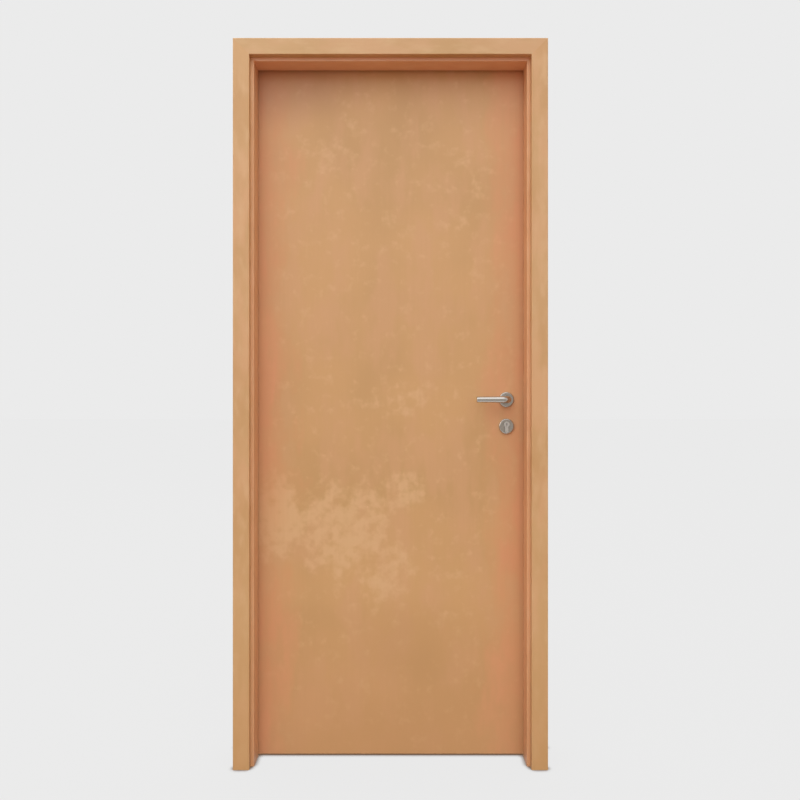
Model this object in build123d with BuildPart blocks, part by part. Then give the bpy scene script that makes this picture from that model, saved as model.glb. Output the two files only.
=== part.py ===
from build123d import *
from math import atan2, degrees, sqrt
import os

# Interior door of wood in its lining, with casings on both sides of the wall, millimetres.
# X runs along the wall, Y through it, Z up. The viewer of the plain side stands at -Y.
# The origin is at floor level, on the wall-side face of the hinge jamb, halfway through the wall.

# Doorway
opening_width = 770.0
opening_height = 1990.0
reveal_depth = 64.0
stop_gap = 7.0

# Leaf
leaf_thickness = 40.0
hinge_gap = 5.5
lock_gap = 6.5
head_gap = 7.0
floor_gap = 4.0
face_sheet = 4.0
stile_width = 40.0
rail_height = 60.0

# Lining of the wall
stop_thickness = 40.0
rebate_depth = 21.0
arris_radius = 1.0

# Casings
casing_width = 46.0
casing_thickness = 22.0
casing_margin = 9.5
casing_round = 2.0
tongue_inset = 2.5
tongue_thickness = 5.0
tongue_length = 12.0
tongue_clearance = 0.3

# Rebate seal
seal_inset = 4.0
seal_bulb_width = 8.0
seal_bulb_height = 2.0
seal_stem_width = 3.6
seal_stem_length = 5.0
seal_groove_clearance = 0.2

# Butt hinges
hinge_height = 100.0
hinge_end_distance = 200.0
hinge_plate_thickness = 2.5
hinge_plate_depth = 32.0
knuckle_count = 5
knuckle_radius = 7.0
knuckle_gap = 0.4
knuckle_standoff = 1.0
pin_radius = 4.0
pin_clearance = 0.05
pin_tip_radius = 6.0
pin_tip_height = 5.0
pin_tip_bevel = 2.0
hinge_recess_clearance = 0.2

# Mortise lock
backset = 63.0
spindle_height = 1035.0
key_drop = 72.0
lock_case_thickness = 15.0
lock_case_reach = 20.0
lock_case_above = 50.0
lock_case_below = 50.0
lock_case_clearance = 0.5
faceplate_thickness = 3.0
faceplate_width = 22.0
faceplate_extra = 30.0
faceplate_clearance = 0.2
latch_rise = 18.0
latch_height = 18.0
latch_width = 10.0
latch_length = 32.0
latch_slope = 8.0
bolt_rise = 10.0
bolt_height = 28.0
bolt_width = 10.0
bolt_length = 40.0
bolt_clearance = 0.4
strike_thickness = 2.0
strike_width = 24.0
strike_extra = 24.0
strike_pocket_depth = 12.0
strike_hole_clearance = 1.0

# Key cylinder
cylinder_head_radius = 8.5
cylinder_web_width = 10.0
cylinder_height = 33.0
cylinder_proud = 1.0
cylinder_clearance = 0.4
plug_radius = 6.5
plug_clearance = 0.05
plug_length = 24.0
plug_proud = 0.5
keyway_width = 2.2
keyway_height = 8.5
keyway_depth = 18.0

# Handle furniture
rose_radius = 22.0
rose_thickness = 8.0
rose_bevel = 1.5
key_rose_shift = 5.5
neck_radius = 9.6
neck_clearance = 0.1
neck_end_gap = 1.0
grip_standoff = 50.0
grip_length = 91.5
grip_tip_radius = 8.3
grip_bend_radius = 16.0
grip_tip_bevel = 2.0
grip_tip_slope = 45.0
spindle_size = 8.0
spindle_reach = 28.0
spindle_clearance = 0.1
spindle_bore_clearance = 1.5

# Places that follow from the sizes above
lining_depth = reveal_depth + stop_gap + leaf_thickness
lining_width = opening_width + 2 * stop_thickness
lining_top = opening_height + stop_thickness
rebate_thickness = stop_thickness - rebate_depth
lining_front = -lining_depth / 2
lining_back = lining_depth / 2
stop_end = lining_front + reveal_depth
leaf_front = stop_end + stop_gap
leaf_back = leaf_front + leaf_thickness
leaf_middle = (leaf_front + leaf_back) / 2
leaf_left = rebate_thickness + hinge_gap
leaf_right = lining_width - rebate_thickness - lock_gap
leaf_bottom = floor_gap
leaf_top = opening_height + rebate_depth - head_gap
pin_x = rebate_thickness + hinge_gap / 2
pin_y = leaf_back + knuckle_standoff + knuckle_radius
spindle_x = leaf_right - backset
key_height = spindle_height - key_drop
hinge_heights = {
    "bottom": leaf_bottom + hinge_end_distance,
    "middle": (leaf_bottom + leaf_top) / 2,
    "top": leaf_top - hinge_end_distance,
}


def keep(piece, name):
    """Label a finished piece and write its file."""
    piece.part.label = name
    export_step(piece.part, f"parts/{name}.step")


def mitred_set(section, left, top, width):
    """Left post, right post and head that follow one section round the doorway, mitred at the corners.

    The section's X runs inwards from the outer edge, its Y through the wall.
    """
    left_mitre = Plane(origin=(left, 0, top), z_dir=(1, 0, 1))
    right_mitre = Plane(origin=(left + width, 0, top), z_dir=(-1, 0, 1))
    middle = Plane.YZ.offset(left + width / 2)
    with BuildPart() as left_post:
        with BuildSketch(Plane.XY):
            with Locations((left, 0)):
                add(section)
        extrude(amount=top)
        split(bisect_by=left_mitre, keep=Keep.BOTTOM)
    with BuildPart() as right_post:
        mirror(left_post.part, about=middle)
    with BuildPart() as head:
        with BuildSketch(Plane(origin=(left, 0, top), x_dir=(0, 0, -1), z_dir=(1, 0, 0))):
            add(section)
        extrude(amount=width)
        split(bisect_by=left_mitre, keep=Keep.TOP)
        split(bisect_by=right_mitre, keep=Keep.TOP)
    return left_post, right_post, head


def casing_section(outer_face, wall_side, board_inner):
    """Casing board with the tongue that holds it in the lining, from its outer edge at X = 0."""
    direction = 1 if wall_side > outer_face else -1
    tongue_start = board_inner - tongue_inset - tongue_thickness
    with BuildSketch() as section:
        with BuildLine():
            Polyline(
                (0, wall_side),
                (0, outer_face),
                (board_inner, outer_face),
                (board_inner, wall_side),
                (tongue_start + tongue_thickness, wall_side),
                (tongue_start + tongue_thickness, wall_side + direction * tongue_length),
                (tongue_start, wall_side + direction * tongue_length),
                (tongue_start, wall_side),
                close=True,
            )
        make_face()
        outer_corners = section.vertices().filter_by_position(Axis.Y, outer_face, outer_face)
        fillet(outer_corners, radius=casing_round)
    return section.sketch


def euro_profile(clearance):
    """Round head and web of a profile cylinder, with the head's centre at the origin."""
    web_radius = cylinder_web_width / 2 + clearance
    foot = cylinder_height - cylinder_head_radius - cylinder_web_width / 2
    with BuildSketch() as profile:
        Circle(cylinder_head_radius + clearance)
        with Locations((0, -foot / 2)):
            Rectangle(2 * web_radius, foot)
        with Locations((0, -foot)):
            Circle(web_radius)
    return profile.sketch


os.makedirs("parts", exist_ok=True)

# Places of the casings and of the seal across the lining's section
front_casing_inner = stop_thickness - casing_margin
back_casing_inner = rebate_thickness - casing_margin
groove_depth = tongue_length + tongue_clearance
groove_width = tongue_thickness + 2 * tongue_clearance
seal_middle = stop_thickness - seal_inset - seal_bulb_width / 2
seal_groove_width = seal_stem_width + 2 * seal_groove_clearance
seal_groove_depth = seal_stem_length + seal_groove_clearance

# Section of the rebated lining, with grooves for the casings and the seal
with BuildSketch() as lining_section:
    with BuildLine():
        Polyline(
            (0, lining_front),
            (stop_thickness, lining_front),
            (stop_thickness, stop_end),
            (rebate_thickness, stop_end),
            (rebate_thickness, lining_back),
            (0, lining_back),
            close=True,
        )
    make_face()
    stop_corners = lining_section.vertices().filter_by_position(Axis.X, stop_thickness, stop_thickness)
    fillet(stop_corners, radius=arris_radius)
    with Locations((front_casing_inner - tongue_inset - tongue_thickness / 2, lining_front)):
        Rectangle(groove_width, 2 * groove_depth, mode=Mode.SUBTRACT)
    with Locations((back_casing_inner - tongue_inset - tongue_thickness / 2, lining_back)):
        Rectangle(groove_width, 2 * groove_depth, mode=Mode.SUBTRACT)
    with Locations((seal_middle, stop_end)):
        Rectangle(seal_groove_width, 2 * seal_groove_depth, mode=Mode.SUBTRACT)

# Section of the rebate seal: a stem in its groove and a low bulb on the stop
with BuildSketch() as seal_section:
    with BuildLine():
        bulb_left = (seal_middle - seal_bulb_width / 2, stop_end)
        bulb_right = (seal_middle + seal_bulb_width / 2, stop_end)
        ThreePointArc(bulb_left, (seal_middle, stop_end + seal_bulb_height), bulb_right)
        Line(bulb_right, bulb_left)
    make_face()
    with Locations((seal_middle, stop_end - seal_stem_length / 2)):
        Rectangle(seal_stem_width, seal_stem_length)

# Recesses for the hinge plates, cut from both the jamb and the leaf
with BuildPart() as hinge_recesses:
    for hinge_z in hinge_heights.values():
        with Locations((pin_x, leaf_back, hinge_z)):
            Box(
                hinge_gap + 2 * hinge_plate_thickness,
                2 * (hinge_plate_depth + hinge_recess_clearance),
                hinge_height + 2 * hinge_recess_clearance,
            )

# Sizes of the lock that the leaf, the case, the faceplate and the strike share
lock_case_bottom = key_height - lock_case_below
lock_case_height = spindle_height + lock_case_above - lock_case_bottom
lock_middle_z = lock_case_bottom + lock_case_height / 2
lock_case_right = leaf_right - faceplate_thickness
lock_case_left = spindle_x - lock_case_reach
latch_z = spindle_height + latch_rise
bolt_z = key_height + bolt_rise
faceplate_height = lock_case_height + 2 * faceplate_extra
strike_bottom = bolt_z - bolt_height / 2 - strike_extra
strike_top = latch_z + latch_height / 2 + strike_extra
edge_plane = Plane(origin=(leaf_right, leaf_middle, 0), x_dir=(0, 1, 0), z_dir=(1, 0, 0))
through_plane = Plane(origin=(spindle_x, leaf_middle, 0), x_dir=(1, 0, 0), z_dir=(0, -1, 0))

# Mortise, faceplate recess and through holes, cut from the leaf's pieces
with BuildPart() as lock_cutouts:
    mortise_left = lock_case_left - lock_case_clearance
    mortise_width = lock_case_right - mortise_left
    with Locations((mortise_left + mortise_width / 2, leaf_middle, lock_middle_z)):
        Box(
            mortise_width,
            lock_case_thickness + 2 * lock_case_clearance,
            lock_case_height + 2 * lock_case_clearance,
        )
    with BuildSketch(edge_plane):
        with Locations((0, lock_middle_z)):
            SlotOverall(
                faceplate_height + 2 * faceplate_clearance,
                faceplate_width + 2 * faceplate_clearance,
                rotation=90,
            )
    extrude(amount=-faceplate_thickness)
    with BuildSketch(through_plane):
        with Locations((0, spindle_height)):
            Circle(neck_radius + spindle_bore_clearance)
        with Locations((0, key_height)):
            add(euro_profile(cylinder_clearance))
    extrude(amount=leaf_thickness, both=True)

# Linings
lining_pieces = mitred_set(lining_section.sketch, 0, lining_top, lining_width)
hinge_jamb_blank, lock_jamb_blank, head_jamb = lining_pieces
with BuildPart() as hinge_jamb:
    add(hinge_jamb_blank.part)
    add(hinge_recesses.part, mode=Mode.SUBTRACT)
strike_face = lining_width - rebate_thickness
strike_plane = Plane(origin=(strike_face, leaf_middle, 0), x_dir=(0, -1, 0), z_dir=(-1, 0, 0))
strike_middle_z = (strike_bottom + strike_top) / 2
strike_height = strike_top - strike_bottom
with BuildSketch(strike_plane) as strike_holes:
    with Locations((0, latch_z)):
        Rectangle(latch_width + 2 * strike_hole_clearance, latch_height + 2 * strike_hole_clearance)
    with Locations((0, bolt_z)):
        Rectangle(bolt_width + 2 * strike_hole_clearance, bolt_height + 2 * strike_hole_clearance)
with BuildPart() as lock_jamb:
    add(lock_jamb_blank.part)
    with BuildSketch(strike_plane):
        with Locations((0, strike_middle_z)):
            SlotOverall(
                strike_height + 2 * faceplate_clearance,
                strike_width + 2 * faceplate_clearance,
                rotation=90,
            )
    extrude(amount=-strike_thickness, mode=Mode.SUBTRACT)
    extrude(strike_holes.sketch, amount=-strike_pocket_depth, mode=Mode.SUBTRACT)
keep(hinge_jamb, "hinge_jamb")
keep(lock_jamb, "lock_jamb")
keep(head_jamb, "head_jamb")

# Strike plate, let into the lock jamb
with BuildPart() as strike_plate:
    with BuildSketch(strike_plane):
        with Locations((0, strike_middle_z)):
            SlotOverall(strike_height, strike_width, rotation=90)
    extrude(amount=-strike_thickness)
    extrude(strike_holes.sketch, amount=-strike_thickness, mode=Mode.SUBTRACT)
keep(strike_plate, "strike_plate")

# Casings on the front and the back of the wall
front_casing_left = front_casing_inner - casing_width
back_casing_left = back_casing_inner - casing_width
casing_sets = {
    "front": (front_casing_left, lining_front - casing_thickness, lining_front),
    "back": (back_casing_left, lining_back + casing_thickness, lining_back),
}
for side, (casing_left, outer_face, wall_side) in casing_sets.items():
    casing_pieces = mitred_set(
        casing_section(outer_face, wall_side, casing_width),
        casing_left,
        lining_top - casing_left,
        lining_width - 2 * casing_left,
    )
    for place, casing_piece in zip(("hinge_side", "lock_side", "head"), casing_pieces):
        keep(casing_piece, f"{side}_casing_{place}")

# Rebate seals
seal_pieces = mitred_set(seal_section.sketch, 0, lining_top, lining_width)
for place, seal_piece in zip(("hinge_side", "lock_side", "head"), seal_pieces):
    keep(seal_piece, f"seal_{place}")

# Leaf: two face sheets over stiles, rails and core
stile_depth = leaf_thickness - 2 * face_sheet
leaf_width = leaf_right - leaf_left
leaf_height = leaf_top - leaf_bottom
leaf_centre_x = (leaf_left + leaf_right) / 2
leaf_centre_z = (leaf_bottom + leaf_top) / 2
inner_width = leaf_width - 2 * stile_width
for side, sheet_y in (("front", leaf_front + face_sheet / 2), ("back", leaf_back - face_sheet / 2)):
    with BuildPart() as sheet:
        with Locations((leaf_centre_x, sheet_y, leaf_centre_z)):
            Box(leaf_width, face_sheet, leaf_height)
        add(hinge_recesses.part, mode=Mode.SUBTRACT)
        add(lock_cutouts.part, mode=Mode.SUBTRACT)
    keep(sheet, f"leaf_{side}_sheet")
with BuildPart() as hinge_stile:
    with Locations((leaf_left + stile_width / 2, leaf_middle, leaf_centre_z)):
        Box(stile_width, stile_depth, leaf_height)
    add(hinge_recesses.part, mode=Mode.SUBTRACT)
keep(hinge_stile, "hinge_stile")
with BuildPart() as lock_stile:
    with Locations((leaf_right - stile_width / 2, leaf_middle, leaf_centre_z)):
        Box(stile_width, stile_depth, leaf_height)
    add(lock_cutouts.part, mode=Mode.SUBTRACT)
keep(lock_stile, "lock_stile")
with BuildPart() as bottom_rail:
    with Locations((leaf_centre_x, leaf_middle, leaf_bottom + rail_height / 2)):
        Box(inner_width, stile_depth, rail_height)
keep(bottom_rail, "bottom_rail")
with BuildPart() as top_rail:
    with Locations((leaf_centre_x, leaf_middle, leaf_top - rail_height / 2)):
        Box(inner_width, stile_depth, rail_height)
keep(top_rail, "top_rail")
with BuildPart() as leaf_core:
    with Locations((leaf_centre_x, leaf_middle, leaf_centre_z)):
        Box(inner_width, stile_depth, leaf_height - 2 * rail_height)
    add(lock_cutouts.part, mode=Mode.SUBTRACT)
keep(leaf_core, "leaf_core")

# Mortise lock: case, faceplate and the two bolts, drawn back flush with the faceplate
bolt_sizes = {
    "latch": (latch_z, latch_width, latch_height, latch_length),
    "dead": (bolt_z, bolt_width, bolt_height, bolt_length),
}
with BuildPart() as lock_case:
    case_width = lock_case_right - lock_case_left
    with Locations((lock_case_left + case_width / 2, leaf_middle, lock_middle_z)):
        Box(case_width, lock_case_thickness, lock_case_height)
    with BuildSketch(through_plane):
        with Locations((0, spindle_height)):
            Circle(spindle_size)
        with Locations((0, key_height)):
            add(euro_profile(cylinder_clearance))
    extrude(amount=lock_case_thickness, both=True, mode=Mode.SUBTRACT)
    for bolt_centre, width, height, length in bolt_sizes.values():
        with BuildSketch(edge_plane):
            with Locations((0, bolt_centre)):
                Rectangle(width + 2 * bolt_clearance, height + 2 * bolt_clearance)
        extrude(amount=-length - bolt_clearance, mode=Mode.SUBTRACT)
keep(lock_case, "lock_case")
with BuildPart() as faceplate:
    with BuildSketch(edge_plane):
        with Locations((0, lock_middle_z)):
            SlotOverall(faceplate_height, faceplate_width, rotation=90)
        for bolt_centre, width, height, length in bolt_sizes.values():
            with Locations((0, bolt_centre)):
                Rectangle(
                    width + 2 * bolt_clearance, height + 2 * bolt_clearance, mode=Mode.SUBTRACT
                )
    extrude(amount=-faceplate_thickness)
keep(faceplate, "lock_faceplate")
with BuildPart() as latch_bolt:
    with BuildSketch(Plane.XY.offset(latch_z - latch_height / 2)):
        with BuildLine():
            Polyline(
                (leaf_right, leaf_middle - latch_width / 2),
                (leaf_right, leaf_middle - latch_width / 4),
                (leaf_right - latch_slope, leaf_middle + latch_width / 2),
                (leaf_right - latch_length, leaf_middle + latch_width / 2),
                (leaf_right - latch_length, leaf_middle - latch_width / 2),
                close=True,
            )
        make_face()
    extrude(amount=latch_height)
keep(latch_bolt, "latch_bolt")
with BuildPart() as dead_bolt:
    with Locations((leaf_right - bolt_length / 2, leaf_middle, bolt_z)):
        Box(bolt_length, bolt_width, bolt_height)
keep(dead_bolt, "dead_bolt")

# Key cylinder through the leaf, with a plug and keyway on each side
cylinder_half = leaf_thickness / 2 + rose_thickness + cylinder_proud
front_plane = Plane(origin=(spindle_x, leaf_front, 0), x_dir=(1, 0, 0), z_dir=(0, -1, 0))
middle_plane = Plane(origin=(0, leaf_middle, 0), z_dir=(0, 1, 0))
cylinder_front = front_plane.offset(rose_thickness + cylinder_proud)
with BuildPart() as lock_cylinder:
    with BuildSketch(through_plane):
        with Locations((0, key_height)):
            add(euro_profile(0))
    extrude(amount=cylinder_half, both=True)
    with BuildSketch(cylinder_front):
        with Locations((0, key_height)):
            Circle(plug_radius + plug_clearance)
    plug_bore = extrude(amount=-plug_length, mode=Mode.SUBTRACT)
    mirror(plug_bore, about=middle_plane, mode=Mode.SUBTRACT)
keep(lock_cylinder, "lock_cylinder")
with BuildPart() as cylinder_plug:
    with BuildSketch(cylinder_front.offset(plug_proud)):
        with Locations((0, key_height)):
            Circle(plug_radius)
    extrude(amount=-plug_length - plug_proud)
    with BuildSketch(cylinder_front.offset(plug_proud)):
        with Locations((0, key_height)):
            Rectangle(keyway_width, keyway_height)
    extrude(amount=-keyway_depth, mode=Mode.SUBTRACT)

# Roses round the lever's neck and round the cylinder
with BuildPart() as handle_rose:
    with BuildSketch(front_plane):
        with Locations((0, spindle_height)):
            Circle(rose_radius)
    extrude(amount=rose_thickness)
    chamfer(handle_rose.faces().sort_by(Axis.Y)[0].edges(), length=rose_bevel)
    with BuildSketch(front_plane):
        with Locations((0, spindle_height)):
            Circle(neck_radius + neck_clearance)
    extrude(amount=rose_thickness, mode=Mode.SUBTRACT)
with BuildPart() as key_rose:
    with BuildSketch(front_plane):
        with Locations((0, key_height - key_rose_shift)):
            Circle(rose_radius)
    extrude(amount=rose_thickness)
    chamfer(key_rose.faces().sort_by(Axis.Y)[0].edges(), length=rose_bevel)
    with BuildSketch(front_plane):
        with Locations((0, key_height)):
            add(euro_profile(cylinder_clearance))
    extrude(amount=rose_thickness, mode=Mode.SUBTRACT)

# Lever: round neck out of the rose, a quarter bend and a grip that tapers towards its tip
grip_y = leaf_front - grip_standoff
bend_end_x = spindle_x - grip_bend_radius
grip_tip_x = spindle_x - grip_length
with BuildPart() as lever:
    with BuildSketch(front_plane.offset(neck_end_gap)):
        with Locations((0, spindle_height)):
            Circle(neck_radius)
    extrude(amount=grip_standoff - neck_end_gap - grip_bend_radius)
    with BuildSketch(front_plane.offset(grip_standoff - grip_bend_radius)):
        with Locations((0, spindle_height)):
            Circle(neck_radius)
    bend_axis = Axis((bend_end_x, grip_y + grip_bend_radius, spindle_height), (0, 0, -1))
    revolve(axis=bend_axis, revolution_arc=90)
    with BuildSketch(Plane(origin=(bend_end_x, grip_y, spindle_height), z_dir=(-1, 0, 0))):
        Circle(neck_radius)
    grip_run = bend_end_x - grip_tip_x - grip_tip_bevel
    extrude(amount=grip_run, taper=degrees(atan2(neck_radius - grip_tip_radius, grip_run)))
    with BuildSketch(Plane(origin=(grip_tip_x + grip_tip_bevel, grip_y, spindle_height), z_dir=(-1, 0, 0))):
        Circle(grip_tip_radius)
    extrude(amount=grip_tip_bevel, taper=grip_tip_slope)
    with BuildSketch(front_plane.offset(neck_end_gap)):
        with Locations((0, spindle_height)):
            Rectangle(spindle_size + 2 * spindle_clearance, spindle_size + 2 * spindle_clearance)
    extrude(amount=spindle_reach, mode=Mode.SUBTRACT)

# The back of the leaf carries the same furniture, mirrored
furniture = {
    "handle_rose": handle_rose,
    "key_rose": key_rose,
    "cylinder_plug": cylinder_plug,
    "lever": lever,
}
for name, front_piece in furniture.items():
    keep(front_piece, f"front_{name}")
    with BuildPart() as back_piece:
        mirror(front_piece.part, about=middle_plane)
    keep(back_piece, f"back_{name}")

# Square spindle that turns the lock and joins the two levers
with BuildPart() as spindle:
    spindle_half = leaf_thickness / 2 + neck_end_gap + spindle_reach - spindle_clearance
    with Locations((spindle_x, leaf_middle, spindle_height)):
        Box(spindle_size, 2 * spindle_half, spindle_size)
keep(spindle, "spindle")

# Butt hinges: knuckles of the frame half and the leaf half take turns round one pin
knuckle_length = (hinge_height - (knuckle_count - 1) * knuckle_gap) / knuckle_count
knuckle_pitch = knuckle_length + knuckle_gap
plate_offset = hinge_gap / 2 + hinge_plate_thickness / 2
neck_reach = sqrt(knuckle_radius**2 - (hinge_gap / 2 + hinge_plate_thickness) ** 2)
neck_bottom = pin_y - leaf_back
for place, hinge_z in hinge_heights.items():
    hinge_bottom = hinge_z - hinge_height / 2
    for half_name, plate_side, first_knuckle in (("frame", -1, 0), ("leaf", 1, 1)):
        plate_x = pin_x + plate_side * plate_offset
        with BuildPart() as hinge_half:
            with Locations((plate_x, leaf_back - hinge_plate_depth / 2, hinge_z)):
                Box(hinge_plate_thickness, hinge_plate_depth, hinge_height)
            for index in range(first_knuckle, knuckle_count, 2):
                with BuildSketch(Plane.XY.offset(hinge_bottom + index * knuckle_pitch)):
                    with Locations((pin_x, pin_y)):
                        Circle(knuckle_radius)
                    with Locations((plate_x, pin_y - (neck_bottom + neck_reach) / 2)):
                        Rectangle(hinge_plate_thickness, neck_bottom - neck_reach)
                    with Locations((pin_x, pin_y)):
                        Circle(pin_radius + pin_clearance, mode=Mode.SUBTRACT)
                extrude(amount=knuckle_length)
        keep(hinge_half, f"hinge_{place}_{half_name}_half")
    with BuildPart() as hinge_pin:
        with Locations((pin_x, pin_y, hinge_z)):
            Cylinder(pin_radius, hinge_height)
        for tip_side in (-1, 1):
            with Locations((pin_x, pin_y, hinge_z + tip_side * (hinge_height + pin_tip_height) / 2)):
                Cylinder(pin_tip_radius, pin_tip_height)
        for tip_face in (hinge_pin.faces().sort_by(Axis.Z)[0], hinge_pin.faces().sort_by(Axis.Z)[-1]):
            chamfer(tip_face.edges(), length=pin_tip_bevel)
    keep(hinge_pin, f"hinge_{place}_pin")
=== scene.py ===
import math

import bmesh
import bpy
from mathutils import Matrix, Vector


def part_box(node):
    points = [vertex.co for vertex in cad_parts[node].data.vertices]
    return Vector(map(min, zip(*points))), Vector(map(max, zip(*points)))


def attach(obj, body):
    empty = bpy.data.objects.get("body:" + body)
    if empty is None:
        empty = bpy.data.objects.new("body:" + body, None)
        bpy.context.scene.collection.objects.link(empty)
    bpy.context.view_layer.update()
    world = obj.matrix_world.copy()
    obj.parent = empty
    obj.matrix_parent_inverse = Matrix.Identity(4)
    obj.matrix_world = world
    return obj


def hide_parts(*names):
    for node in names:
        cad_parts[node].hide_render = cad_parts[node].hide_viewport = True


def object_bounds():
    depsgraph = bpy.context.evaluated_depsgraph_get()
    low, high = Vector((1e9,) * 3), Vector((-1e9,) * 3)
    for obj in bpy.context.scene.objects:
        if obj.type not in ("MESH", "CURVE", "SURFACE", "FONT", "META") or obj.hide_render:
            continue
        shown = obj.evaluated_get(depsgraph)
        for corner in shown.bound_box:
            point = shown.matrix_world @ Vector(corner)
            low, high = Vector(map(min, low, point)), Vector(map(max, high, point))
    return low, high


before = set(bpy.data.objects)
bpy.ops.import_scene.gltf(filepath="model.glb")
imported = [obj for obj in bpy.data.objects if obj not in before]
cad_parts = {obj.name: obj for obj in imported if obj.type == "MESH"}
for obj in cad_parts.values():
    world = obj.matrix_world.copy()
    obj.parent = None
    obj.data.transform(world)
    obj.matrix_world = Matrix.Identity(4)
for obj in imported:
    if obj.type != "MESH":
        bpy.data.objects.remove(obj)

CAD_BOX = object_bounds()
MM = 0.001

# A level camera, square on to the wall, a little right of the doorway's middle line; the distance is
# from the casings' front faces
CAMERA_DISTANCE = 2.172
CAMERA_X = 0.4518
CAMERA_HEIGHT = 1.0337
CAMERA_LENS = 35.0
CAMERA_SENSOR = 36.0
CAMERA_SIGHT = 100.0


def linear(code):
    """Linear colour for Blender from a screen colour such as "d0a478"."""
    channels = [int(code[i:i + 2], 16) / 255 for i in (0, 2, 4)]
    return [c / 12.92 if c <= 0.04045 else ((c + 0.055) / 1.055) ** 2.4 for c in channels] + [1.0]


def add_node(tree, kind, inputs=None, **settings):
    """Add a node to a tree, set its properties, then set its inputs or link them to a socket or a node."""
    made = tree.nodes.new(kind)
    for name, value in settings.items():
        setattr(made, name, value)
    for name, value in (inputs or {}).items():
        if isinstance(value, bpy.types.Node):
            value = value.outputs[0]
        if isinstance(value, bpy.types.NodeSocket):
            tree.links.new(value, made.inputs[name])
        else:
            made.inputs[name].default_value = value
    return made


def new_material(name):
    """A new material with its tree and its Principled shader."""
    material = bpy.data.materials.new(name)
    material.use_nodes = True
    tree = material.node_tree
    return material, tree, tree.nodes["Principled BSDF"]


def dress(material, *nodes):
    """Give CAD nodes a material, in every slot that they have."""
    for name in nodes:
        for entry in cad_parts[name].material_slots:
            entry.material = material


# Camera
front_face_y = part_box("front_casing_head")[0].y
camera_data = bpy.data.cameras.new("camera")
camera_data.lens = CAMERA_LENS
camera_data.sensor_width = CAMERA_SENSOR
camera_data.clip_end = CAMERA_SIGHT
camera = bpy.data.objects.new("camera", camera_data)
camera.location = (CAMERA_X, front_face_y - CAMERA_DISTANCE, CAMERA_HEIGHT)
camera.rotation_euler = (math.radians(90), 0, 0)
bpy.context.collection.objects.link(camera)
bpy.context.scene.camera = camera
bpy.context.scene.view_settings.view_transform = "Standard"

# Studio: a pale floor, a soft sky and one large panel overhead
BACKGROUND = linear("ebebeb")
# The sky's strength at the horizon and overhead, and how fast it falls off to the two sides
SKY = linear("ffffff")
SKY_LOW = 1.45
SKY_HIGH = 2.15
SIDE_FALL = 1.45
# The floor is a warm tone for the light that it throws back, and for the eye it is the background's colour
# with a small share of a surface that takes light and shadow
FLOOR_BOUNCE = linear("927060")
FLOOR_LIT = linear("bbbbbb")
FLOOR_SHARE = 0.05
FLOOR_REACH = 40.0
# The contact shadow: its colour close under the door, how far it reaches, how many rays look for the door,
# and the shares of open sky between which it fades
SHADOW = linear("6e523c")
SHADOW_REACH = 0.02
SHADOW_RAYS = 12
SHADOW_FADE = {"From Min": 0.35, "From Max": 0.95}
# The panel: its size across and along, its watts, its colour and where its middle is, left of the door
PANEL_SIZE = (5.0, 12.0)
PANEL_POWER = 112.0
PANEL_COLOUR = linear("fffaf4")
PANEL_PLACE = (-0.9, 0.0, 3.5)


def seen_directly(tree):
    """1 for rays from the camera, or that gloss or glass sends on, and 0 for soft light."""
    rays = add_node(tree, "ShaderNodeLightPath").outputs
    glossy = add_node(tree, "ShaderNodeMath", {0: rays["Is Camera Ray"], 1: rays["Is Glossy Ray"]},
                      operation="MAXIMUM")
    return add_node(tree, "ShaderNodeMath", {0: glossy, 1: rays["Is Transmission Ray"]},
                    operation="MAXIMUM")


world = bpy.data.worlds.new("studio")
bpy.context.scene.world = world
world.use_nodes = True
tree = world.node_tree
tree.nodes.clear()
backdrop = add_node(tree, "ShaderNodeBackground", {"Color": BACKGROUND, "Strength": 1.0})
ray = add_node(tree, "ShaderNodeTexCoord").outputs["Generated"]
way = add_node(tree, "ShaderNodeSeparateXYZ", {"Vector": ray})
rise = add_node(tree, "ShaderNodeMapRange", {
    "Value": way.outputs["Z"], "To Min": SKY_LOW, "To Max": SKY_HIGH})
sideways = add_node(tree, "ShaderNodeMath", {0: way.outputs["X"], 1: way.outputs["X"]},
                    operation="MULTIPLY")
ahead = add_node(tree, "ShaderNodeMath", {0: 1.0, 1: sideways}, operation="SUBTRACT")
kept = add_node(tree, "ShaderNodeMath", {0: ahead, 1: SIDE_FALL}, operation="POWER")
strength = add_node(tree, "ShaderNodeMath", {0: rise, 1: kept}, operation="MULTIPLY")
sky = add_node(tree, "ShaderNodeBackground", {"Color": SKY, "Strength": strength})
pick = add_node(tree, "ShaderNodeMixShader", {0: seen_directly(tree), 1: sky, 2: backdrop})
add_node(tree, "ShaderNodeOutputWorld", {"Surface": pick})

floor_material = bpy.data.materials.new("studio floor")
floor_material.use_nodes = True
tree = floor_material.node_tree
tree.nodes.clear()
open_sky = add_node(tree, "ShaderNodeAmbientOcclusion", {"Distance": SHADOW_REACH}, samples=SHADOW_RAYS)
clear = add_node(tree, "ShaderNodeMapRange", {"Value": open_sky.outputs["AO"], **SHADOW_FADE},
                 interpolation_type="SMOOTHSTEP")
shade = add_node(tree, "ShaderNodeMixRGB", {0: clear, 1: SHADOW, 2: BACKGROUND})
shown = add_node(tree, "ShaderNodeEmission", {"Color": shade, "Strength": 1.0})
lit = add_node(tree, "ShaderNodeBsdfDiffuse", {"Color": FLOOR_LIT})
bounce = add_node(tree, "ShaderNodeBsdfDiffuse", {"Color": FLOOR_BOUNCE})
soft = add_node(tree, "ShaderNodeMixShader", {0: FLOOR_SHARE, 1: shown, 2: lit})
pick = add_node(tree, "ShaderNodeMixShader", {0: seen_directly(tree), 1: bounce, 2: soft})
add_node(tree, "ShaderNodeOutputMaterial", {"Surface": pick})

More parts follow.
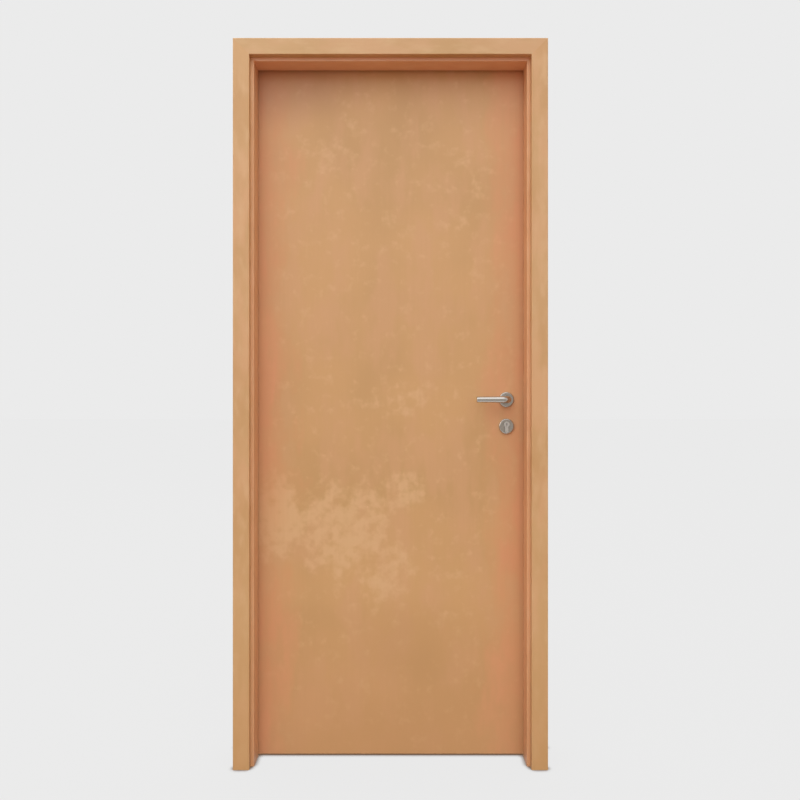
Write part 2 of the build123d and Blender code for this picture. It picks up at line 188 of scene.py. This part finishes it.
floor_mesh = bpy.data.meshes.new("floor")
corners = ((-1, -1), (1, -1), (1, 1), (-1, 1))
floor_mesh.from_pydata([(x * FLOOR_REACH, y * FLOOR_REACH, 0) for x, y in corners], [], [(0, 1, 2, 3)])
floor_mesh.materials.append(floor_material)
floor = bpy.data.objects.new("floor", floor_mesh)
bpy.context.collection.objects.link(floor)

panel_data = bpy.data.lights.new("overhead panel", "AREA")
panel_data.shape = "RECTANGLE"
panel_data.size, panel_data.size_y = PANEL_SIZE
panel_data.energy = PANEL_POWER
panel_data.color = PANEL_COLOUR[:3]
panel = bpy.data.objects.new("overhead panel", panel_data)
panel.location = PANEL_PLACE
bpy.context.collection.objects.link(panel)

# Cards that only gloss sees: warm grey ones in front and behind, which lie on the floor from some way off
# and then stand up, and a white one to the left, upright between two heights
GREY_CARD = linear("b3a99f")
CARD_START = 1.0
CARD_DISTANCE = 2.7
CARD_HEIGHT = 1.8
CARD_HALF_WIDTH = 3.5
CARD_LIFT = 0.002
WHITE_CARD = linear("fff4e6")
WHITE_STRENGTH = 2.3
WHITE_DISTANCE = 2.5
WHITE_HEIGHTS = (1.2, 3.6)


def card(name, colour, strength, line):
    """A glowing sheet over a line of pairs of points, unseen by the camera and by soft light."""
    material = bpy.data.materials.new(name)
    material.use_nodes = True
    tree = material.node_tree
    tree.nodes.clear()
    glow = add_node(tree, "ShaderNodeEmission", {"Color": colour, "Strength": strength})
    add_node(tree, "ShaderNodeOutputMaterial", {"Surface": glow})
    mesh = bpy.data.meshes.new(name)
    mesh.from_pydata([point for pair in line for point in pair], [],
                     [(i, i + 1, i + 3, i + 2) for i in range(0, 2 * len(line) - 2, 2)])
    mesh.materials.append(material)
    made = bpy.data.objects.new(name, mesh)
    bpy.context.collection.objects.link(made)
    made.visible_camera = made.visible_diffuse = made.visible_transmission = made.visible_shadow = False


middle_x = (CAD_BOX[0].x + CAD_BOX[1].x) / 2
ends = (middle_x - CARD_HALF_WIDTH, middle_x + CARD_HALF_WIDTH)
for name, side in (("front card", -1), ("back card", 1)):
    bend = ((CARD_START, CARD_LIFT), (CARD_DISTANCE, CARD_LIFT), (CARD_DISTANCE, CARD_HEIGHT))
    card(name, GREY_CARD, 1.0, [[(x, side * y, z) for x in ends] for y, z in bend])
card("left card", WHITE_CARD, WHITE_STRENGTH,
     [[(middle_x - WHITE_DISTANCE, y, z) for y in (-CARD_DISTANCE, CARD_DISTANCE)] for z in WHITE_HEIGHTS])

# Wood: sizes of its patterns, from the widest clouds in the stain to the streaks of the grain. Those are
# too fine to show at this distance, where a pixel is about 3 mm, so they are drawn 6 mm coarse
CLOUDS = 310 * MM
BLOTCHES = 95 * MM
RAGGED = 27 * MM
FLECKS = 13 * MM
STREAKS = 6 * MM
# How many times longer blotches and streaks are along the grain than across it
MOTTLE_STRETCH = 2.5
STREAK_STRETCH = 28.0
# For each pattern, the noise at which it starts to show and at which it is full, and its share there
CLOUD_FADE = {"From Min": 0.36, "From Max": 0.66, "To Max": 0.6}
BLOTCH_FADE = {"From Min": 0.42, "From Max": 0.64}
PALE_FADE = {"From Min": 0.52, "From Max": 0.92, "To Max": 0.75}
STREAK_FADE = {"From Min": 0.3, "From Max": 0.7, "To Max": 0.07}
FLECK_FADE = {"From Min": 0.74, "From Max": 0.88, "To Max": 0.35}
FLECK_TONE = linear("ecc59c")
# The lacquer's roughness, how much it varies with the streaks, and the height of the grain under it
LACQUER_GLOSS = 0.48
GLOSS_VARIES = 0.03
GLOSS_FADE = {"From Min": 0.3, "From Max": 0.7}
GRAIN_HEIGHT = 0.4 * MM
GRAIN_STRENGTH = 0.06
# How much more of the light tone a patch brings, and how strong a patch the plainer pieces have all over
PATCH_LIFT = 0.30
PLAIN_PATCH = 0.35
# An oval fades between these distances from its middle, in half widths
OVAL_FADE = {"From Min": 1.2, "From Max": 0.25}
# Painted shade, darker towards the foot: from this height down, to this share of the foot's tone at the
# floor
FOOT_SHADE_START = 0.5
FOOT_SHADE_SHARE = 0.7
LEAF_FOOT_SHADE = "c99564"
# Lighter patches of the leaf's cloudy finish: x and z of the middle, half width, half height, strength
PATCHES = (
    (0.285, 0.655, 0.185, 0.180, 1.0),
    (0.080, 0.685, 0.130, 0.150, 1.3),
    (0.425, 0.520, 0.085, 0.100, 0.9),
    (0.470, 0.770, 0.080, 0.070, 0.8),
    (0.455, 1.045, 0.100, 0.060, 0.55),
    (0.610, 1.550, 0.070, 0.040, 0.5),
    (0.240, 1.720, 0.130, 0.090, 0.2),
    (0.640, 1.700, 0.090, 0.070, 0.3),
)
# The same for the leaf's other face, guessed
BACK_PATCHES = (
    (0.560, 1.380, 0.160, 0.130, 0.8),
    (0.310, 0.860, 0.100, 0.080, 0.5),
    (0.600, 0.430, 0.120, 0.090, 0.5),
    (0.250, 1.690, 0.090, 0.060, 0.3),
)
# Deeper clouds, the same with a tone: a greener one low on the front face, a redder painted shade in its
# top corner under the head, and a greener one on the back
FRONT_CLOUDS_AND_SHADE = (
    (0.470, 0.320, 0.170, 0.140, 0.25, "b98e5a"),
    # Painted shade in the top corner, under the head
    (0.080, 1.960, 0.270, 0.140, 0.35, "a8745a"),
)
BACK_DEEP_CLOUDS = (
    (0.330, 1.180, 0.190, 0.150, 0.35, "b98e5a"),
)
# Painted shade with the warm light that the jambs throw back: the leaf turns redder towards its two upright
# edges, from this far in, less on the back face. The line wanders with the blotches, in metres for noise
# from 0 to 1, and a light patch thins the redder tone by a share
EDGE_SHADE_TONE = linear("dd9e73")
EDGE_SHADE_REACH = 120 * MM
EDGE_SHADE_WANDER = 0.35
EDGE_SHADE_THINNED = 0.4
FRONT_EDGE_SHADE = 0.85
BACK_EDGE_SHADE = 0.45
leaf_low, leaf_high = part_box("leaf_front_sheet")


def ellipse(tree, place, x, z, half_x, half_z, strength):
    """A soft oval on the wall plane, from its strength in the middle to 0 at its edge."""
    centred = add_node(tree, "ShaderNodeMapping", {
        "Vector": place, "Location": (-x / half_x, 0, -z / half_z), "Scale": (1 / half_x, 0, 1 / half_z)})
    away = add_node(tree, "ShaderNodeVectorMath", {0: centred}, operation="LENGTH").outputs["Value"]
    return add_node(tree, "ShaderNodeMapRange", {"Value": away, "To Max": strength, **OVAL_FADE},
                    interpolation_type="SMOOTHSTEP")


def veneer(name, base, light, dark, warm, along, mottle, cloudy=None):
    """Stained veneer under satin lacquer, with its grain along one axis.

    Its four tones are the base, the pale spots, the deeper clouds and the warmer blotches, of which mottle
    is the share; the deeper tone also paints shade towards the foot. A face of the leaf is cloudy: its
    patches, its deeper clouds, one a painted shade, and the share of painted warm shade along its edges.
    """
    material, tree, shader = new_material(name)
    place = add_node(tree, "ShaderNodeTexCoord").outputs["Object"]
    axis = "XYZ".index(along)
    mottle_scale = [1.0 / MOTTLE_STRETCH if i == axis else 1.0 for i in range(3)]
    streak_scale = [1.0 / STREAK_STRETCH if i == axis else 1.0 for i in range(3)]

    # Broad clouds, where the stain is deeper
    clouds = add_node(tree, "ShaderNodeTexNoise", {"Vector": place, "Scale": 1 / CLOUDS, "Detail": 2.0})
    deeper = add_node(tree, "ShaderNodeMapRange", {"Value": clouds, **CLOUD_FADE},
                      interpolation_type="SMOOTHSTEP")
    colour = add_node(tree, "ShaderNodeMixRGB", {0: deeper, 1: linear(base), 2: linear(dark)})

    # Blotches of a warmer tone, drawn out along the grain
    drawn = add_node(tree, "ShaderNodeMapping", {"Vector": place, "Scale": mottle_scale})
    blotches = add_node(tree, "ShaderNodeTexNoise", {
        "Vector": drawn, "Scale": 1 / BLOTCHES, "Detail": 3.0, "Roughness": 0.6})
    warmer = add_node(tree, "ShaderNodeMapRange", {"Value": blotches, "To Max": mottle, **BLOTCH_FADE},
                      interpolation_type="SMOOTHSTEP")
    colour = add_node(tree, "ShaderNodeMixRGB", {0: warmer, 1: colour, 2: linear(warm)})

    # Light patches with ragged edges and small islands in them
    patches, deep_clouds_and_shade, edge_shade_share = cloudy or ((), (), 0.0)
    ragged = add_node(tree, "ShaderNodeTexNoise", {
        "Vector": place if cloudy else drawn, "Scale": 1 / RAGGED, "Detail": 3.0, "Roughness": 0.5})
    mask = 0.0 if cloudy else PLAIN_PATCH
    for patch in patches:
        oval = ellipse(tree, place, *patch)
        mask = add_node(tree, "ShaderNodeMath", {0: oval, 1: mask}, operation="MAXIMUM")
    cover = add_node(tree, "ShaderNodeMath", {0: mask, 1: PATCH_LIFT, 2: ragged}, operation="MULTIPLY_ADD")
    pale = add_node(tree, "ShaderNodeMapRange", {"Value": cover, **PALE_FADE},
                    interpolation_type="SMOOTHSTEP")
    colour = add_node(tree, "ShaderNodeMixRGB", {0: pale, 1: colour, 2: linear(light)})

    # Painted shade: a deeper tone towards the foot
    parts = add_node(tree, "ShaderNodeSeparateXYZ", {"Vector": place}).outputs
    low = add_node(tree, "ShaderNodeMapRange", {
        "Value": parts["Z"], "From Min": FOOT_SHADE_START, "From Max": 0.0, "To Max": FOOT_SHADE_SHARE})
    foot = LEAF_FOOT_SHADE if cloudy else dark
    colour = add_node(tree, "ShaderNodeMixRGB", {0: low, 1: colour, 2: linear(foot)})

    # Painted warm shade along the leaf's two upright edges, and its deeper clouds, one of them painted
    # shade
    if cloudy:
        thinner = add_node(tree, "ShaderNodeMath", {0: mask, 1: -EDGE_SHADE_THINNED, 2: 1.0},
                           operation="MULTIPLY_ADD")
        wander = add_node(tree, "ShaderNodeMath", {0: blotches, 1: 0.5}, operation="SUBTRACT")
        for edge, inwards in ((leaf_low.x, 1), (leaf_high.x, -1)):
            uneven = add_node(tree, "ShaderNodeMath", {
                0: wander, 1: inwards * EDGE_SHADE_WANDER, 2: parts["X"]}, operation="MULTIPLY_ADD")
            edge_shade = add_node(tree, "ShaderNodeMapRange", {
                "Value": uneven, "From Min": edge + inwards * EDGE_SHADE_REACH, "From Max": edge,
                "To Max": edge_shade_share})
            edge_shade = add_node(tree, "ShaderNodeMath", {0: edge_shade, 1: thinner}, operation="MULTIPLY")
            colour = add_node(tree, "ShaderNodeMixRGB", {0: edge_shade, 1: colour, 2: EDGE_SHADE_TONE})
        for *oval, tone in deep_clouds_and_shade:
            deep = ellipse(tree, place, *oval)
            colour = add_node(tree, "ShaderNodeMixRGB", {0: deep, 1: colour, 2: linear(tone)})

    # Fine streaks along the grain and small pale flecks
    fine = add_node(tree, "ShaderNodeMapping", {"Vector": place, "Scale": streak_scale})
    streaks = add_node(tree, "ShaderNodeTexNoise", {"Vector": fine, "Scale": 1 / STREAKS, "Detail": 3.0})
    faint = add_node(tree, "ShaderNodeMapRange", {"Value": streaks, **STREAK_FADE},
                     interpolation_type="SMOOTHSTEP")
    colour = add_node(tree, "ShaderNodeMixRGB", {0: faint, 1: colour, 2: linear(dark)})
    specks = add_node(tree, "ShaderNodeTexNoise", {"Vector": place, "Scale": 1 / FLECKS, "Detail": 2.0})
    flecks = add_node(tree, "ShaderNodeMapRange", {"Value": specks, **FLECK_FADE},
                      interpolation_type="SMOOTHSTEP")
    colour = add_node(tree, "ShaderNodeMixRGB", {0: flecks, 1: colour, 2: FLECK_TONE})

    tree.links.new(colour.outputs[0], shader.inputs["Base Color"])
    gloss = add_node(tree, "ShaderNodeMapRange", {
        "Value": streaks, "To Min": LACQUER_GLOSS - GLOSS_VARIES, "To Max": LACQUER_GLOSS + GLOSS_VARIES,
        **GLOSS_FADE})
    tree.links.new(gloss.outputs[0], shader.inputs["Roughness"])
    relief = add_node(tree, "ShaderNodeBump", {
        "Height": streaks, "Strength": GRAIN_STRENGTH, "Distance": GRAIN_HEIGHT})
    tree.links.new(relief.outputs["Normal"], shader.inputs["Normal"])
    return material


# Even tan with soft upright blotches
casing_upright = veneer(
    "veneered casing, tan stain, satin lacquer, grain upright",
    base="d2a976", light="dcb687", dark="c69963", warm="dcad80", along="Z", mottle=0.7)
# The same, a little darker, with its blotches drawn out level
casing_level = veneer(
    "veneered casing, tan stain, satin lacquer, grain level",
    base="cda875", light="d8b586", dark="c29862", warm="d6ab7f", along="X", mottle=0.7)
# Painted light: lighter and a little redder than the casings, against the shade of the recess behind them
lining_upright_painted_light = veneer(
    "veneered lining, tan stain, satin lacquer, grain upright",
    base="e4b283", light="e9bb90", dark="d9a374", warm="e7af86", along="Z", mottle=0.4)
# Painted light: lighter still, against the deeper shade under the head, with its blotches drawn out level
lining_level_painted_light = veneer(
    "veneered lining, tan stain, satin lacquer, grain level",
    base="eebe97", light="f2c8a3", dark="e4b188", warm="f0bb97", along="X", mottle=0.4)
# Cloudy, with ragged light patches and redder edges
leaf_face = veneer(
    "veneered leaf, cloudy tan stain, satin lacquer",
    base="d2a671", light="dfb888", dark="c39b66", warm="d5a679", along="Z", mottle=0.6,
    cloudy=(PATCHES, FRONT_CLOUDS_AND_SHADE, FRONT_EDGE_SHADE))
# The same, with patches of its own
leaf_back_face = veneer(
    "veneered leaf back, cloudy tan stain, satin lacquer",
    base="d2a671", light="dfb888", dark="c39b66", warm="d5a679", along="Z", mottle=0.6,
    cloudy=(BACK_PATCHES, BACK_DEEP_CLOUDS, BACK_EDGE_SHADE))
# As tan as the leaf's faces, and more even
edge_timber = veneer(
    "softwood, clear satin lacquer",
    base="d0a273", light="dab487", dark="bf8f5f", warm="d6a67c", along="Z", mottle=0.4)

dress(casing_upright, "front_casing_hinge_side", "front_casing_lock_side",
      "back_casing_hinge_side", "back_casing_lock_side")
dress(casing_level, "front_casing_head", "back_casing_head")
dress(lining_upright_painted_light, "hinge_jamb", "lock_jamb")
dress(lining_level_painted_light, "head_jamb")
dress(leaf_face, "leaf_front_sheet")
dress(leaf_back_face, "leaf_back_sheet")
dress(edge_timber, "hinge_stile", "lock_stile", "bottom_rail", "top_rail")

# Metal, rubber and board: the grain of a brushed or plated surface, too fine to show, is drawn 1 mm coarse
GRAIN = 1 * MM
GRAIN_FADE = {"From Min": 0.3, "From Max": 0.7}
CHIP_FADE = {"From Min": 0.4, "From Max": 0.6}


def plain(name, colour, roughness, grain, metal=0.0, second=None):
    """One finish all over, its roughness uneven by grain; second is another tone and its spots' size."""
    material, tree, shader = new_material(name)
    shader.inputs["Base Color"].default_value = linear(colour)
    shader.inputs["Metallic"].default_value = metal
    place = add_node(tree, "ShaderNodeTexCoord").outputs["Object"]
    rubbed = add_node(tree, "ShaderNodeTexNoise", {"Vector": place, "Scale": 1 / GRAIN, "Detail": 2.0})
    uneven = add_node(tree, "ShaderNodeMapRange", {
        "Value": rubbed, "To Min": roughness - grain, "To Max": roughness + grain, **GRAIN_FADE})
    tree.links.new(uneven.outputs[0], shader.inputs["Roughness"])
    if second:
        tone, size = second
        chips = add_node(tree, "ShaderNodeTexNoise", {"Vector": place, "Scale": 1 / size, "Detail": 2.0})
        cover = add_node(tree, "ShaderNodeMapRange", {"Value": chips, **CHIP_FADE})
        mixed = add_node(tree, "ShaderNodeMixRGB", {0: cover, 1: linear(colour), 2: linear(tone)})
        tree.links.new(mixed.outputs[0], shader.inputs["Base Color"])
    return material


# Dull, pale brown chips of two tones
core_board = plain("particle board, raw", "b08d62", roughness=0.9, grain=0.05, second=("8f6d45", 5 * MM))
# Matt brown, deeper than the wood, faintly uneven
seal_rubber = plain("thermoplastic rubber, tan, extruded", "94694a", roughness=0.75, grain=0.05,
                    second=("8a6143", 3 * MM))
# Soft grey gloss
satin_nickel = plain("zinc casting, satin nickel plate", "c4c1bc", roughness=0.24, grain=0.03, metal=1.0)
# The same, a little duller
hinge_steel = plain("rolled steel, satin nickel plate", "bdbbb7", roughness=0.3, grain=0.04, metal=1.0)
# Greyer and duller than the plate
lock_steel = plain("stainless steel, brushed", "b4b3b0", roughness=0.34, grain=0.04, metal=1.0)
# Dull bluish grey
zinc_sheet = plain("sheet steel, zinc plate", "9da0a2", roughness=0.45, grain=0.05, metal=1.0)
# Paler than the rose round it
cylinder_nickel = plain("turned brass, satin nickel plate", "e9e8e6", roughness=0.34, grain=0.03, metal=1.0)

dress(core_board, "leaf_core")
dress(seal_rubber, "seal_hinge_side", "seal_lock_side", "seal_head")
dress(satin_nickel, "front_lever", "back_lever", "front_handle_rose", "back_handle_rose",
      "front_key_rose", "back_key_rose")
HINGE_PLACES = ("bottom", "middle", "top")
dress(hinge_steel, *[f"hinge_{place}_{part}" for place in HINGE_PLACES
                     for part in ("frame_half", "leaf_half", "pin")])
dress(lock_steel, "lock_faceplate", "strike_plate", "latch_bolt", "dead_bolt", "spindle")
dress(zinc_sheet, "lock_case")
dress(cylinder_nickel, "lock_cylinder", "front_cylinder_plug", "back_cylinder_plug")

# Turned and bent metal pieces: how finely a rose, a bar, its bend and a rounded edge are divided
ROSE_STEPS = 128
BAR_STEPS = 64
BEND_STEPS = 24
EDGE_STEPS = 8
# Smooth shading breaks where faces meet at more than this
CREASE = math.radians(40)


def ring_mesh(name, rings, material, close=False):
    """A skin over rings of points, closed from the last ring to the first, or with a cap at each end."""
    count = len(rings[0])
    points = [point for ring in rings for point in ring]
    faces = []
    pairs = list(zip(range(len(rings)), range(1, len(rings))))
    if close:
        pairs.append((len(rings) - 1, 0))
    for first, second in pairs:
        for step in range(count):
            after = (step + 1) % count
            faces.append((first * count + step, first * count + after,
                          second * count + after, second * count + step))
    if not close:
        faces.append(tuple(reversed(range(count))))
        faces.append(tuple(range((len(rings) - 1) * count, len(rings) * count)))
    mesh = bpy.data.meshes.new(name)
    mesh.from_pydata(points, [], faces)
    shell = bmesh.new()
    shell.from_mesh(mesh)
    bmesh.ops.recalc_face_normals(shell, faces=shell.faces)
    shell.to_mesh(mesh)
    shell.free()
    mesh.materials.append(material)
    for polygon in mesh.polygons:
        polygon.use_smooth = True
    mesh.set_sharp_from_angle(angle=CREASE)
    made = bpy.data.objects.new(name, mesh)
    bpy.context.collection.objects.link(made)
    return made


# Sizes that the CAD pieces give
leaf_front, leaf_back = leaf_low.y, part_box("leaf_back_sheet")[1].y
rose_low, rose_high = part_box("front_handle_rose")
key_rose_low, key_rose_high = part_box("front_key_rose")
cylinder_low, cylinder_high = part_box("lock_cylinder")
rose_radius = (rose_high.x - rose_low.x) / 2
rose_thickness = rose_high.y - rose_low.y
spindle_x = (rose_low.x + rose_high.x) / 2
spindle_z = (rose_low.z + rose_high.z) / 2
key_rose_z = (key_rose_low.z + key_rose_high.z) / 2
cylinder_head = (cylinder_high.x - cylinder_low.x) / 2
cylinder_z = cylinder_high.z - cylinder_head
# Half the width of the cylinder's web, and the gap between the cylinder and its hole in the rose
CYLINDER_WEB = 5.0 * MM
CYLINDER_GAP = 0.4 * MM
# The rose's rounded rim, the depth of its dish, the edge of its hole and the gap round the lever's neck
ROSE_ROUND = 3.2 * MM
ROSE_DISH = 0.5 * MM
HOLE_ROUND = 0.4 * MM
NECK_GAP = 0.3 * MM
# Shares of the way from the hole to the rim at which the dish has a ring of points
DISH_SHARES = (0.75, 0.5, 0.25)
NEARLY_ZERO = 1e-9


def euro_reach(angle, from_z):
    """How far the outline of the profile cylinder lies from a point inside it, at an angle."""
    sine, cosine = math.sin(angle), math.cos(angle)
    radius = cylinder_head + CYLINDER_GAP
    rise = cylinder_z - from_z
    reach = rise * sine + math.sqrt(max(radius ** 2 - (rise * cosine) ** 2, 0.0))
    if sine < 0:
        web = CYLINDER_WEB + CYLINDER_GAP
        foot = from_z - (cylinder_low.z + CYLINDER_WEB)
        side = web / max(abs(cosine), NEARLY_ZERO)
        if side * -sine > foot:
            drop = -foot * sine
            side = drop + math.sqrt(max(web ** 2 - foot ** 2 + drop ** 2, 0.0))
        reach = max(reach, side)
    return reach


def rose(name, centre_z, hole, face_y, outwards):
    """A turned rose with a rounded rim, slightly dished, and a hole whose reach is a function of angle."""
    rim = rose_radius - ROSE_ROUND
    shoulder = rose_thickness - ROSE_ROUND
    profile = [(rose_radius, 0.0), (rose_radius, shoulder)]
    for step in range(1, EDGE_STEPS + 1):
        turn = math.radians(90 * step / EDGE_STEPS)
        profile.append((rim + ROSE_ROUND * math.cos(turn), shoulder + ROSE_ROUND * math.sin(turn)))
    angles = [2 * math.pi * step / ROSE_STEPS for step in range(ROSE_STEPS)]
    rings = [[(radius, depth)] * ROSE_STEPS for radius, depth in profile]
    for share in DISH_SHARES:
        rings.append([(hole(a) + HOLE_ROUND + (rim - hole(a) - HOLE_ROUND) * share,
                       rose_thickness - ROSE_DISH * (1 - share)) for a in angles])
    top = rose_thickness - ROSE_DISH
    rings.append([(hole(a) + HOLE_ROUND, top) for a in angles])
    rings.append([(hole(a), top - HOLE_ROUND) for a in angles])
    rings.append([(hole(a), 0.0) for a in angles])
    points = [[(spindle_x + reach * math.cos(a), face_y + outwards * depth, centre_z + reach * math.sin(a))
               for (reach, depth), a in zip(ring, angles)] for ring in rings]
    return ring_mesh(name, points, satin_nickel, close=True)


# The lever's radius at its neck and at its tip, and the radii of its bend and of the tip's edge
LEVER_NECK = 9.6 * MM
LEVER_TIP = 8.3 * MM
LEVER_BEND = 16.0 * MM
LEVER_TIP_ROUND = 2.5 * MM


def lever(name, face_y, outwards):
    """Round bar that leaves the rose, bends a quarter turn and tapers to a rounded tip."""
    low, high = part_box(name)
    neck_end = high.y if outwards < 0 else low.y
    grip_y = (low.y if outwards < 0 else high.y) - outwards * LEVER_NECK
    bend_x = spindle_x - LEVER_BEND
    stations = [((spindle_x, neck_end), 0.0, LEVER_NECK)]
    for step in range(BEND_STEPS + 1):
        turn = math.radians(90 * step / BEND_STEPS)
        stations.append(((bend_x + LEVER_BEND * math.cos(turn),
                          grip_y - outwards * LEVER_BEND * (1 - math.sin(turn))), turn, LEVER_NECK))
    straight_end = low.x + LEVER_TIP_ROUND
    for step in range(1, EDGE_STEPS + 1):
        share = step / EDGE_STEPS
        stations.append(((bend_x + (straight_end - bend_x) * share, grip_y), math.pi / 2,
                         LEVER_NECK + (LEVER_TIP - LEVER_NECK) * share))
    for step in range(1, EDGE_STEPS + 1):
        turn = math.radians(90 * step / EDGE_STEPS)
        stations.append(((straight_end - LEVER_TIP_ROUND * math.sin(turn), grip_y), math.pi / 2,
                         LEVER_TIP - LEVER_TIP_ROUND * (1 - math.cos(turn))))
    angles = [2 * math.pi * step / BAR_STEPS for step in range(BAR_STEPS)]
    rings = []
    for (x, y), turn, radius in stations:
        across = Vector((math.cos(turn), outwards * math.sin(turn), 0))
        rings.append([tuple(Vector((x, y, spindle_z)) + across * (radius * math.cos(a))
                            + Vector((0, 0, radius * math.sin(a)))) for a in angles])
    return ring_mesh(f"{name}_bar", rings, satin_nickel)


neck_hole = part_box("front_lever")[1].x - spindle_x + NECK_GAP
for side, face_y, outwards in (("front", leaf_front, -1), ("back", leaf_back, 1)):
    plate = rose(f"{side}_handle_rose_turned", spindle_z, lambda a: neck_hole, face_y, outwards)
    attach(plate, "leaf")
    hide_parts(f"{side}_handle_rose")
    plate = rose(f"{side}_key_rose_turned", key_rose_z, lambda a: euro_reach(a, key_rose_z), face_y,
                 outwards)
    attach(plate, "leaf")
    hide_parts(f"{side}_key_rose")
    bar = lever(f"{side}_lever", face_y, outwards)
    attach(bar, "handle")
    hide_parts(f"{side}_lever")

# Screws: countersunk heads with a cross slot, a little proud of their plates
SCREW_HEAD = 8.0 * MM
SCREW_PROUD = 0.25 * MM
SCREW_SLOPE = 0.6 * MM
SLOT_LENGTH = 4.4 * MM
SLOT_WIDTH = 0.9 * MM
HEAD_SIDES = 40
TURN_SEED = 7
# Each hinge screw's height from the hinge's middle and its distance from the leaf's back face
HINGE_SCREWS = ((-37 * MM, 11 * MM), (-13 * MM, 22 * MM), (13 * MM, 22 * MM), (37 * MM, 11 * MM))
PLATE_SCREW_INSET = 12 * MM


def screw_tree():
    """Heads on every point of a mesh, facing one way and each turned by an angle of its own."""
    tree = bpy.data.node_groups.new("screw heads", "GeometryNodeTree")
    tree.interface.new_socket("Places", in_out="INPUT", socket_type="NodeSocketGeometry")
    sizes = {"Head Diameter": SCREW_HEAD, "Head Height": SCREW_PROUD, "Edge Slope": SCREW_SLOPE,
             "Slot Length": SLOT_LENGTH, "Slot Width": SLOT_WIDTH}
    for name, size in sizes.items():
        socket = tree.interface.new_socket(name, in_out="INPUT", socket_type="NodeSocketFloat")
        socket.default_value = size
    tree.interface.new_socket("Facing", in_out="INPUT", socket_type="NodeSocketVector")
    tree.interface.new_socket("Metal", in_out="INPUT", socket_type="NodeSocketMaterial")
    tree.interface.new_socket("Screws", in_out="OUTPUT", socket_type="NodeSocketGeometry")
    given = add_node(tree, "NodeGroupInput").outputs
    radius = add_node(tree, "ShaderNodeMath", {0: given["Head Diameter"], 1: 0.5}, operation="MULTIPLY")
    top = add_node(tree, "ShaderNodeMath", {0: radius, 1: given["Edge Slope"]}, operation="SUBTRACT")
    head = add_node(tree, "GeometryNodeMeshCone", {
        "Vertices": HEAD_SIDES, "Radius Top": top, "Radius Bottom": radius, "Depth": given["Head Height"]})
    cut = head
    lift = add_node(tree, "ShaderNodeCombineXYZ", {"Z": given["Head Height"]})
    for x_size, y_size in (("Slot Length", "Slot Width"), ("Slot Width", "Slot Length")):
        # A bar as thick as the head is high sinks halfway into it
        extent = add_node(tree, "ShaderNodeCombineXYZ", {
            "X": given[x_size], "Y": given[y_size], "Z": given["Head Height"]})
        bar = add_node(tree, "GeometryNodeMeshCube", {"Size": extent})
        raised = add_node(tree, "GeometryNodeTransform", {"Geometry": bar, "Translation": lift})
        cut = add_node(tree, "GeometryNodeMeshBoolean", {"Mesh 1": cut, "Mesh 2": raised},
                       operation="DIFFERENCE", solver="EXACT")
    angle = add_node(tree, "FunctionNodeRandomValue", {"Max": math.tau, "Seed": TURN_SEED},
                     data_type="FLOAT")
    spin = add_node(tree, "ShaderNodeCombineXYZ", {"Z": angle.outputs[1]})
    turned = add_node(tree, "FunctionNodeEulerToRotation", {"Euler": spin})
    facing = add_node(tree, "FunctionNodeAlignRotationToVector", {
        "Rotation": turned, "Vector": given["Facing"]}, axis="Z")
    placed = add_node(tree, "GeometryNodeInstanceOnPoints", {
        "Points": given["Places"], "Instance": cut, "Rotation": facing})
    real = add_node(tree, "GeometryNodeRealizeInstances", {"Geometry": placed})
    metal = add_node(tree, "GeometryNodeSetMaterial", {"Geometry": real, "Material": given["Metal"]})
    add_node(tree, "NodeGroupOutput", {"Screws": metal})
    return tree


heads = screw_tree()
head_inputs = {item.name: item.identifier for item in heads.interface.items_tree if item.in_out == "INPUT"}


def screws(name, body, metal, facing, places):
    """One mesh of screw heads at these places."""
    mesh = bpy.data.meshes.new(name)
    mesh.from_pydata(places, [], [])
    made = bpy.data.objects.new(name, mesh)
    bpy.context.collection.objects.link(made)
    modifier = made.modifiers.new("heads", "NODES")
    modifier.node_group = heads
    modifier[head_inputs["Facing"]] = facing
    modifier[head_inputs["Metal"]] = metal
    solid = bpy.data.meshes.new_from_object(made.evaluated_get(bpy.context.evaluated_depsgraph_get()))
    made.modifiers.clear()
    made.data = solid
    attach(made, body)


# The two ways that heads face
TO_LOCK_SIDE = (1.0, 0.0, 0.0)
TO_HINGE_SIDE = (-1.0, 0.0, 0.0)

# The hinge plates lie flush with the leaf's edge and, mirrored about the pins, with the jamb
pin_low, pin_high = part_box("hinge_top_pin")
leaf_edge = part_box("hinge_stile")[0].x
jamb_face = pin_low.x + pin_high.x - leaf_edge
for body, face_x, facing in (("frame", jamb_face, TO_LOCK_SIDE), ("leaf", leaf_edge, TO_HINGE_SIDE)):
    places = []
    for place in HINGE_PLACES:
        low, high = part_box(f"hinge_{place}_{body}_half")
        for rise, inset in HINGE_SCREWS:
            places.append((face_x, leaf_back - inset, (low.z + high.z) / 2 + rise))
    screws(f"hinge_screws_{body}", body, hinge_steel, facing, places)
for node, body, facing in (("strike_plate", "frame", TO_HINGE_SIDE),
                           ("lock_faceplate", "leaf", TO_LOCK_SIDE)):
    low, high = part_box(node)
    face_x = low.x if facing is TO_HINGE_SIDE else high.x
    middle = (low.y + high.y) / 2
    places = [(face_x, middle, low.z + PLATE_SCREW_INSET), (face_x, middle, high.z - PLATE_SCREW_INSET)]
    screws(f"{node}_screws", body, lock_steel, facing, places)
